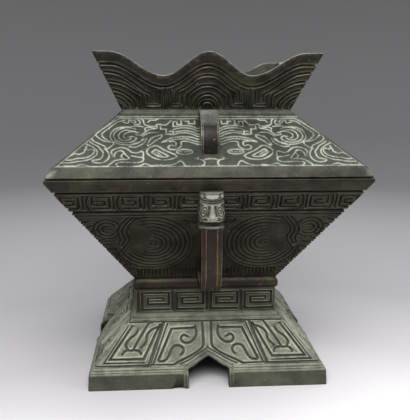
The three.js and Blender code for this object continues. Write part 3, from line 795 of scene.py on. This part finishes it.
def strap_profiles(g, source):
    """The flat of a strap and the rail along each of its edges, as rectangles with rounded corners."""
    narrower = 0.0008
    tall = g.plus(source["Thickness"], source["Rail Height"])
    proud = g.times(source["Rail Height"], 0.5)
    right = g.times(g.maths("SUBTRACT", source["Width"], source["Rail Width"]), 0.5)
    profiles = []
    for width, height, across, out in (
            (g.maths("SUBTRACT", source["Width"], narrower), source["Thickness"], 0.0, 0.0),
            (source["Rail Width"], tall, right, proud),
            (source["Rail Width"], tall, g.times(right, -1.0), proud)):
        quad = g.node("GeometryNodeCurvePrimitiveQuadrilateral", {"Width": width, "Height": height})
        fillet = g.node("GeometryNodeFilletCurve", {"Curve": quad.outputs[0], "Count": 3,
                                                    "Radius": source["Rounding"]}, mode="POLY")
        offset = g.node("ShaderNodeCombineXYZ", {0: across, 1: out}).outputs[0]
        move = g.node("GeometryNodeTransform", {"Geometry": fillet.outputs[0], "Translation": offset})
        profiles.append(move.outputs[0])
    return profiles


def swept_piece(name, tree, paths, sizes, material, scales=None):
    """Sweeps a tree's profiles along each path."""
    curve = bpy.data.curves.new(name + "_path", "CURVE")
    curve.dimensions = "3D"
    for path in paths:
        spline = curve.splines.new("POLY")
        spline.points.add(len(path) - 1)
        for i, place in enumerate(path):
            spline.points[i].co = (*(place * MM), 1)
            spline.points[i].radius = 1.0 if scales is None else scales[i]
    holder = add_object(name + "_path", curve)
    modifier = holder.modifiers.new("sweep", "NODES")
    modifier.node_group = tree
    for socket in tree.interface.items_tree:
        if socket.in_out == "INPUT" and socket.name in sizes:
            modifier[socket.identifier] = sizes[socket.name] * MM
        if socket.in_out == "INPUT" and socket.name == "Material":
            modifier[socket.identifier] = material
    mesh = baked_mesh(holder)
    bpy.data.objects.remove(holder)
    return add_object(name, mesh)


def foot_front(z):
    """Distance of the foot's outer surface from the middle plane at a height."""
    heights = [0.0, 11.0, 11.9, 13.2, 14.2, FOOT[1], FOOT[3]]
    halves = [86.9, 86.3, 84.9, 84.2, 83.6, FOOT[0], FOOT[2]]
    return np.interp(z, heights, halves)


def notch_paths():
    """The two beads that frame each notch: up one jamb, over the point and down the other."""
    paths = []
    for turn in range(4):
        sine, cosine = math.sin(math.pi / 2 * turn), math.cos(math.pi / 2 * turn)
        for offset in (0.95, 2.9):
            edge = notch_edge(offset, 0.7)
            jamb = [(NOTCH_HALF + offset, z) for z in np.arange(0.9, edge[0][1] - 0.4, 1.0)]
            right = jamb + [tuple(p) for p in edge]
            across, up = np.array(right + [(-x, z) for x, z in right[-2::-1]]).T
            out = 0.05 - foot_front(up)
            paths.append(np.stack([across * cosine - out * sine, across * sine + out * cosine, up], -1))
    return paths


def middle_path(path):
    """A path of outward distance and height, set on the middle of the front side."""
    return np.array([(0, -out, z) for out, z in path])


def loop_curve(count=22):
    """The lid loop's line: a squarish quarter of an ellipse, from the slope up to the crown."""
    foot_out, foot_z, end_out, rise, square = 92.4, 168.6, 57, 28.5, 2 / 2.8
    angles = np.radians(np.linspace(90, 0, count))
    return np.stack([end_out + (foot_out - end_out) * np.sin(angles) ** square,
                     foot_z + rise * np.cos(angles) ** square], -1)


def add_dust_and_painted_highlight(piece, amount, even=0.0):
    """Dust on a swept piece as an even share, and the rest as a painted highlight where it faces up, standing
    in for light reflected from above.
    """
    facing = np.clip((read_points(piece, "normal")[:, 2] - 0.6) / 0.35, 0, 1)
    add_layer(piece, "dust", amount * (even + (1 - even) * facing))


def turned_copy(piece, side):
    """The same piece on the back side."""
    mesh = piece.data.copy()
    mesh.transform(Matrix.Rotation(math.pi, 4, "Z"))
    return add_object(piece.name.replace("front", side), mesh)


# The animal mask at the top of each ear.

def mask_height(x, z):
    """Relief of the mask over its block, from across and height."""
    ax = np.abs(x)

    def soft(value, size):
        return np.exp(-(value / size) ** 2)

    def window(low, high):
        return np.clip((z - low) / 0.5, 0, 1) * np.clip((high - z) / 0.5, 0, 1)

    # A plate on the brow, the groove round it, and a ringed knob at each end.
    plate = 1 - ((x / 4.9) ** 4 + ((z - 144.0 - 0.02 * x * x) / 1.5) ** 4)
    height = 0.9 * np.clip(plate * 1.6, 0, 1) - 0.7 * soft(plate + 0.9, 0.6) * window(141.6, 148.0)
    knob = np.hypot(ax - 6.7, z - 144.3)
    height += 1.5 * soft(knob, 1.1) - 0.5 * soft(knob - 1.9, 0.35)
    # Two wrinkles and the brow under them.
    for wrinkle in (139.9, 141.2):
        height -= 0.9 * soft(z - wrinkle - 0.016 * ax ** 2, 0.42)
    height += 0.7 * soft(z - 138.7 - 0.03 * ax ** 2, 0.6)
    # The nose: bridge, the groove beside it, tip and nostrils.
    bridge = 1.1 + 0.14 * np.clip(138.0 - z, 0, 9)
    height += 0.9 * window(129.5, 138.6) * np.clip((bridge - ax) / 0.5, 0, 1)
    height -= 0.7 * soft(ax - bridge - 0.9, 0.32) * window(130.6, 138.2)
    height += 1.7 * soft(ax, 3.2) * soft(z - 129.3, 2.3)
    nostril = np.hypot(ax - 4.2, z - 129.2)
    height += 0.8 * soft(nostril - 1.6, 0.45) + 0.8 * soft(nostril, 0.55) - 0.8 * soft(nostril - 0.9, 0.3)
    # Ringed eyes, strokes down the cheeks, the mouth and the lip under it.
    eye = np.hypot((ax - 5.1 + 0.12 * (z - 134.4)) / 2.1, (z - 134.2) / 3.9)
    height += (0.3 + 0.6 * np.cos(2 * np.pi * 1.9 * eye)) * (eye < 1.18)
    for stroke in (7.0, 8.2):
        height -= 0.8 * soft(ax - stroke + 0.05 * (z - 133.5) ** 2 / 4, 0.36) * window(127.6, 139.3)
    height -= 1.7 * window(124.0, 127.6)
    return height + 0.5 * soft(z - 122.9, 0.8) - 0.6 * window(121.0, 122.0)


def mask_piece(name):
    """A block with rounded cheeks whose front carries the mask's relief."""
    half, count, rows = 8.5, 84, 92
    low, high, back = 121.4, 147.0, 92.0
    points, groove = [], []
    for z in low + (high - low) * np.arange(rows + 1) / rows:
        lean = 107.0 + 2.4 * math.sin(math.pi * (z - low) / (high - low) * 0.9)
        ends = min(1.0, ((z - low) / 1.2) ** 0.5, ((high - z) / 2.2) ** 0.5)
        swell = 1 + 0.03 * math.exp(-((z - 122.8) / 1.0) ** 2) + 0.09 * math.exp(-((z - 132) / 4.5) ** 2)
        swell -= 0.07 * math.exp(-((z - 125.8) / 1.4) ** 2)
        for angle in np.linspace(-1, 1, count + 1) * math.pi / 2:
            x = half * math.copysign(abs(math.sin(angle)) ** 0.8, angle)
            bow = abs(math.cos(angle)) ** 0.4
            rise = float(mask_height(np.array(x), np.array(z)))
            front = back + (lean - back) * (0.3 + 0.7 * bow) * (0.9 + 0.1 * ends)
            front += rise * min(1, bow * 1.4) * ends
            points.append((x * swell, -front, z))
            groove.append(min(1.0, -rise / 0.6) if rise < 0 else -min(1.0, max(0.0, rise - 0.45) / 0.5))
        points += [(half, -back + 4, z), (-half, -back + 4, z)]
        groove += [0.0, 0.0]
    width = count + 3
    faces = grid(rows + 1, width, around=True)
    faces += [tuple(range(width)), tuple(range(rows * width, (rows + 1) * width))]
    piece = make_piece(name, np.array(points) * MM, faces)
    add_layer(piece, "groove", groove)
    add_layer(piece, "dust", [0.8] * len(points))
    weld(piece)
    return piece


# Finishes.

def rgb(red, green, blue):
    return (red, green, blue, 1.0)


def new_material(name):
    material = bpy.data.materials.new(name)
    material.use_nodes = True
    return material, Graph(material.node_tree)


def shader_group(name, inputs, outputs):
    """A graph for a shared effect with its named inputs and outputs."""
    tree = bpy.data.node_groups.new(name, "ShaderNodeTree")
    for socket, value in inputs.items():
        new_socket(tree, socket, "Float", "INPUT", value)
    for socket in outputs:
        new_socket(tree, socket, "Float", "OUTPUT")
    return Graph(tree)


def patina_group():
    """Where dust, verdigris and mineral specks lie, and the painted highlight on the straps and loops: by
    region, on faces that look up, and in lines.
    """
    g = shader_group("patina cover", {"Groove": 0.0, "Region": 1.0, "Line Amount": 1.0, "Patch Scale": 90.0},
                     ("Dust", "Line", "Patch", "Speck"))
    source, place = g.node("NodeGroupInput").outputs, g.place()
    normal = g.node("ShaderNodeNewGeometry").outputs["Normal"]
    facing = g.node("ShaderNodeSeparateXYZ", {0: normal}).outputs[2]
    patch = g.noise(place, source["Patch Scale"], 6.0, 0.62)
    fine = g.noise(place, 750.0, 3.0, 0.65)
    upward = g.ramp(facing, -0.3, 0.7, 0.35, 1.0)
    mottled = g.plus(g.ramp(patch, 0.34, 0.66, 0.5, 1.0), g.ramp(fine, 0.3, 0.7, -0.2, 0.2))
    dust = g.times(g.times(upward, source["Region"]), mottled, clamp=True)
    broken = g.plus(g.ramp(patch, 0.36, 0.58, 0.36, 1.0), g.ramp(fine, 0.3, 0.7, -0.3, 0.22))
    line = g.times(g.times(source["Groove"], source["Line Amount"]), broken, clamp=True)
    dots = g.ramp(g.noise(place, 520.0, 2.0, 0.5), 0.66, 0.72)
    speck = g.times(dots, g.ramp(patch, 0.45, 0.6), clamp=True)
    g.node("NodeGroupOutput", {"Dust": dust, "Line": line, "Patch": patch, "Speck": speck})
    return g.tree


def wear_group():
    """Where handling has rubbed edges bare, and the grain of the casting."""
    g = shader_group("edge wear and grain", {"Edge Reach": 0.0009, "Evenness": 0.0, "Grain Scale": 900.0},
                     ("Wear", "Grain"))
    source, place = g.node("NodeGroupInput").outputs, g.place()
    bevel = g.node("ShaderNodeBevel", {"Radius": source["Edge Reach"]}, samples=6).outputs[0]
    normal = g.node("ShaderNodeNewGeometry").outputs["Normal"]
    same = g.node("ShaderNodeVectorMath", {0: bevel, 1: normal}, operation="DOT_PRODUCT").outputs["Value"]
    broken = g.plus(g.ramp(g.noise(place, 160.0, 5.0, 0.6), 0.4, 0.6), source["Evenness"])
    wear = g.times(g.ramp(same, 0.985, 0.9), broken, clamp=True)
    coarse = g.times(g.noise(place, 180.0, 4.0, 0.6), 1.6)
    grain = g.plus(g.noise(place, source["Grain Scale"], 3.0, 0.6), coarse)
    g.node("NodeGroupOutput", {"Wear": wear, "Grain": grain})
    return g.tree


def bronze(name, effects, base, warm, dust, line, worn, patch_scale=80.0, evenness=0.0, edge=0.0009,
           rough=0.4, quiet=1.0, lip_amounts=(0.15, 0.8), lip_colour=rgb(0.36, 0.38, 0.30), dusty_line=None):
    """Cast bronze: brown-black metal under dust and patina, rubbed bright on its edges.
    On surfaces with little dust the lines keep the quiet share of their colour."""
    olive_bloom, pale_speck = rgb(0.046, 0.053, 0.021), rgb(0.15, 0.165, 0.10)
    material, g = new_material(name)
    groove = g.node("ShaderNodeAttribute", attribute_name="groove").outputs["Fac"]
    region = g.node("ShaderNodeAttribute", attribute_name="dust").outputs["Fac"]
    cover = g.fill(g.node("ShaderNodeGroup", node_tree=effects[0]), {
        "Groove": groove, "Region": region, "Patch Scale": patch_scale,
        "Line Amount": g.ramp(region, 0.1, 0.7, quiet, 1.0)}).outputs
    wear = g.fill(g.node("ShaderNodeGroup", node_tree=effects[1]), {
        "Evenness": evenness, "Edge Reach": edge}).outputs
    metal = g.mix(g.ramp(cover["Patch"], 0.38, 0.62), base, warm)
    metal = g.mix(g.ramp(g.noise(g.place(), 30.0, 5.0, 0.68), 0.54, 0.70, 0.0, 0.6), metal, olive_bloom)
    metal = g.mix(g.times(cover["Speck"], 0.6), metal, pale_speck)
    colour = g.mix(cover["Dust"], metal, dust)
    lip = g.times(g.times(groove, -1.0, clamp=True), g.ramp(region, 0.1, 0.7, *lip_amounts))
    colour = g.mix(g.times(lip, g.ramp(cover["Patch"], 0.36, 0.56, 0.4, 1.0)), colour, lip_colour)
    colour = g.mix(wear["Wear"], colour, worn)
    if dusty_line:
        line = g.mix(g.ramp(region, 0.4, 0.9), line, dusty_line)
    colour = g.mix(cover["Line"], colour, line)
    covered = g.maths("MAXIMUM", cover["Dust"], cover["Line"])
    roughness = g.plus(g.ramp(covered, 0.0, 0.8, rough, 0.72), g.ramp(wear["Grain"], 0.9, 1.7, -0.06, 0.08))
    bump = g.node("ShaderNodeBump", {"Strength": 0.35, "Distance": 0.0004, "Height": wear["Grain"]})
    g.fill(g.nodes["Principled BSDF"], {
        "Base Color": colour, "Metallic": g.ramp(covered, 0.0, 0.8, 0.7, 0.05), "Roughness": roughness,
        "Normal": bump.outputs[0], "Specular IOR Level": 0.22})
    return material


# Stage, light and camera.

def add_camera():
    lens = bpy.data.cameras.new("camera")
    lens.lens, lens.sensor_width, lens.sensor_fit = CAMERA_LENS, 36.0, "AUTO"
    turn = Matrix.Identity(4)
    for degrees, axis in ((CAMERA_ROLL, "Y"), (CAMERA_PITCH, "X"), (CAMERA_YAW, "Z")):
        turn = turn @ Matrix.Rotation(math.radians(degrees), 4, axis)
    camera = add_object("camera", lens)
    level_view = Matrix.Rotation(math.pi / 2, 4, "X")
    camera.matrix_world = Matrix.Translation(Vector(CAMERA_PLACE) * MM) @ turn.transposed() @ level_view
    bpy.context.scene.camera = camera


def floor_with_painted_light():
    """A painted pool of light: pale on the floor just in front of the vessel, falling off to a darker grey
    with distance and up the backdrop.
    """
    reach = 2.0
    painted_light_shades = [(0.0, 0.84), (0.09, 0.80), (0.15, 0.46), (0.225, 0.30), (0.4, 0.27), (0.55, 0.22),
              (0.75, 0.138), (1.0, 0.109)]
    material, g = new_material("pale floor")
    # The painted pool of light centres just in front of the vessel and darkens with distance from there.
    away = g.node("ShaderNodeVectorMath", {0: g.place(), 1: (0.03, -0.30, 0.0)}, operation="DISTANCE")
    painted_light_falloff = g.node("ShaderNodeValToRGB", {"Fac": g.ramp(away.outputs["Value"], 0.0, reach)})
    stops = painted_light_falloff.color_ramp.elements
    while len(stops) < len(painted_light_shades):
        stops.new(0.5)
    for stop, (share, shade) in zip(stops, painted_light_shades):
        stop.position = share
        stop.color = rgb(shade, shade * 0.972, shade * 0.99)
    g.fill(g.nodes["Principled BSDF"], {"Base Color": painted_light_falloff.outputs[0], "Roughness": 0.75})
    return material


def add_stage():
    """A round floor that sweeps up into a low wall, the same from every side, carrying the painted pool of
    light.
    """
    radius, bend, height, count = 1.4, 0.45, 1.0, 96
    turns = np.linspace(0, math.pi / 2, 13)[1:]
    profile = [(0.25, 0.0), (0.6, 0.0), (radius - bend, 0.0)]
    profile += [(radius - bend + bend * math.sin(a), bend - bend * math.cos(a)) for a in turns]
    profile.append((radius, height))
    around = np.arange(count) * 2 * math.pi / count
    points = [(out * math.cos(a), out * math.sin(a), z) for out, z in profile for a in around]
    faces = [tuple(range(count))] + [face[::-1] for face in grid(len(profile), count, around=True)]
    sweep = make_piece("floor", points, faces)
    sweep.data.shade_smooth()
    sweep.data.materials.append(floor_with_painted_light())


def add_light(name, place, size, power):
    """A soft rectangle of light that looks at the vessel's middle."""
    data = bpy.data.lights.new(name, "AREA")
    data.shape, data.size, data.size_y, data.energy = "RECTANGLE", size[0], size[1], power
    light = add_object(name, data)
    light.location = place
    light.rotation_euler = (Vector((0, 0, 0.12)) - Vector(place)).to_track_quat("-Z", "Y").to_euler()


def add_lights():
    add_light("soft front", (-0.15, -1.15, 1.15), (1.4, 0.9), 33)
    add_light("soft top", (0.1, 0.35, 1.2), (1.1, 0.8), 13)
    add_light("right side", (1.0, -0.5, 0.55), (0.5, 0.6), 3.5)
    world = bpy.data.worlds.new("studio")
    world.use_nodes = True
    background = world.node_tree.nodes["Background"].inputs
    background["Color"].default_value = rgb(0.9, 0.92, 1.0)
    background["Strength"].default_value = 0.42
    bpy.context.scene.world = world


# Putting it together.

effects = (patina_group(), wear_group())
brown_black, warm_brown = rgb(0.013, 0.0125, 0.0095), rgb(0.027, 0.0195, 0.0145)
near_black = rgb(0.006, 0.0065, 0.005)
vessel_bronze = bronze("vessel bronze", effects, brown_black, warm_brown, dust=rgb(0.205, 0.22, 0.165),
                       line=near_black, worn=rgb(0.065, 0.055, 0.04), quiet=0.8, patch_scale=70.0,
                       lip_amounts=(0.035, 0.85), lip_colour=rgb(0.40, 0.425, 0.33),
                       dusty_line=rgb(0.045, 0.048, 0.036))
lid_bronze = bronze("lid bronze", effects, brown_black, warm_brown, dust=rgb(0.061, 0.069, 0.054),
                    line=rgb(0.48, 0.535, 0.44), worn=rgb(0.11, 0.09, 0.065), quiet=0.0,
                    lip_amounts=(0.22, 0.5))
# Its dust colour also paints the highlight on the strap's up-facing top.
strap_bronze = bronze("strap bronze", effects, rgb(0.022, 0.017, 0.015), rgb(0.030, 0.020, 0.018),
                      dust=rgb(0.20, 0.21, 0.18), line=near_black, worn=rgb(0.34, 0.23, 0.13), evenness=0.6,
                      edge=0.0007, rough=0.34)
# Its dust colour also paints the highlight on the loop's up-facing top, where it would reflect the light from
# above.
loop_bronze = bronze("loop bronze", effects, rgb(0.012, 0.012, 0.010), rgb(0.017, 0.015, 0.013),
                     dust=rgb(0.23, 0.24, 0.205), line=near_black, worn=rgb(0.27, 0.255, 0.205), evenness=0.5,
                     edge=0.0006)
mask_bronze = bronze("mask bronze", effects, rgb(0.045, 0.045, 0.036), rgb(0.06, 0.06, 0.048),
                     dust=rgb(0.17, 0.175, 0.14), line=rgb(0.010, 0.009, 0.007), worn=rgb(0.34, 0.33, 0.27),
                     evenness=0.3, rough=0.42, lip_amounts=(0.8, 0.8), lip_colour=rgb(0.33, 0.335, 0.28))

vessel = build_vessel()
cut_notches(vessel)
chip_plinth(vessel)
vessel.data.name = vessel.name
vessel.data.materials.clear()
vessel.data.materials.append(vessel_bronze)
lid = build_lid()
lift_tip(lid)
wear_corners(lid)
lid.data.materials.append(lid_bronze)

bead_sizes = {"Bead Radius": 0.85}
bead_tree = sweep_tree("swept bead", bead_sizes, bead_profile)
beads = swept_piece("notch_beads", bead_tree, notch_paths(), bead_sizes, vessel_bronze)
add_dust_and_painted_highlight(beads, 1.0, even=1.0)

ear_path = middle_path(flow([(54, 77.2), (70, 77.0), (86, 77.6), (95.6, 80.4), (101.2, 85.4), (103.9, 93),
                             (104.2, 108), (103.8, 123.5)], 1.6))
ear_sizes = {"Width": 13.8, "Thickness": 4.4, "Rail Width": 3.1, "Rail Height": 1.4, "Rounding": 0.2}
strap_tree = sweep_tree("railed strap", ear_sizes, strap_profiles)
ear = swept_piece("ear_strap_front", strap_tree, [ear_path], ear_sizes, strap_bronze)
# The strap's up-facing faces are painted pale as a highlight.
add_dust_and_painted_highlight(ear, 0.5)
loop_path = middle_path(loop_curve())
loop_sizes = {"Width": 12.4, "Thickness": 3.2, "Rail Width": 1.3, "Rail Height": 0.6, "Rounding": 0.2}
loop_scales = list(np.linspace(1.0, 0.88, len(loop_path)))
loop = swept_piece("lid_loop_front", strap_tree, [loop_path], loop_sizes, loop_bronze, loop_scales)
# The loop's up-facing top is painted pale as a highlight of the light from above.
add_dust_and_painted_highlight(loop, 1.0)
mask = mask_piece("ear_mask_front")
mask.data.materials.append(mask_bronze)

pieces = {
    "vessel": [vessel, beads, ear, mask, turned_copy(ear, "back"), turned_copy(mask, "back")],
    "lid": [lid, loop, turned_copy(loop, "back")],
}
for node, members in pieces.items():
    for piece in members:
        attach(piece, BODY_NAME)
        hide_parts(node)

add_stage()
add_lights()
add_camera()
bpy.context.scene.view_settings.view_transform = "Standard"
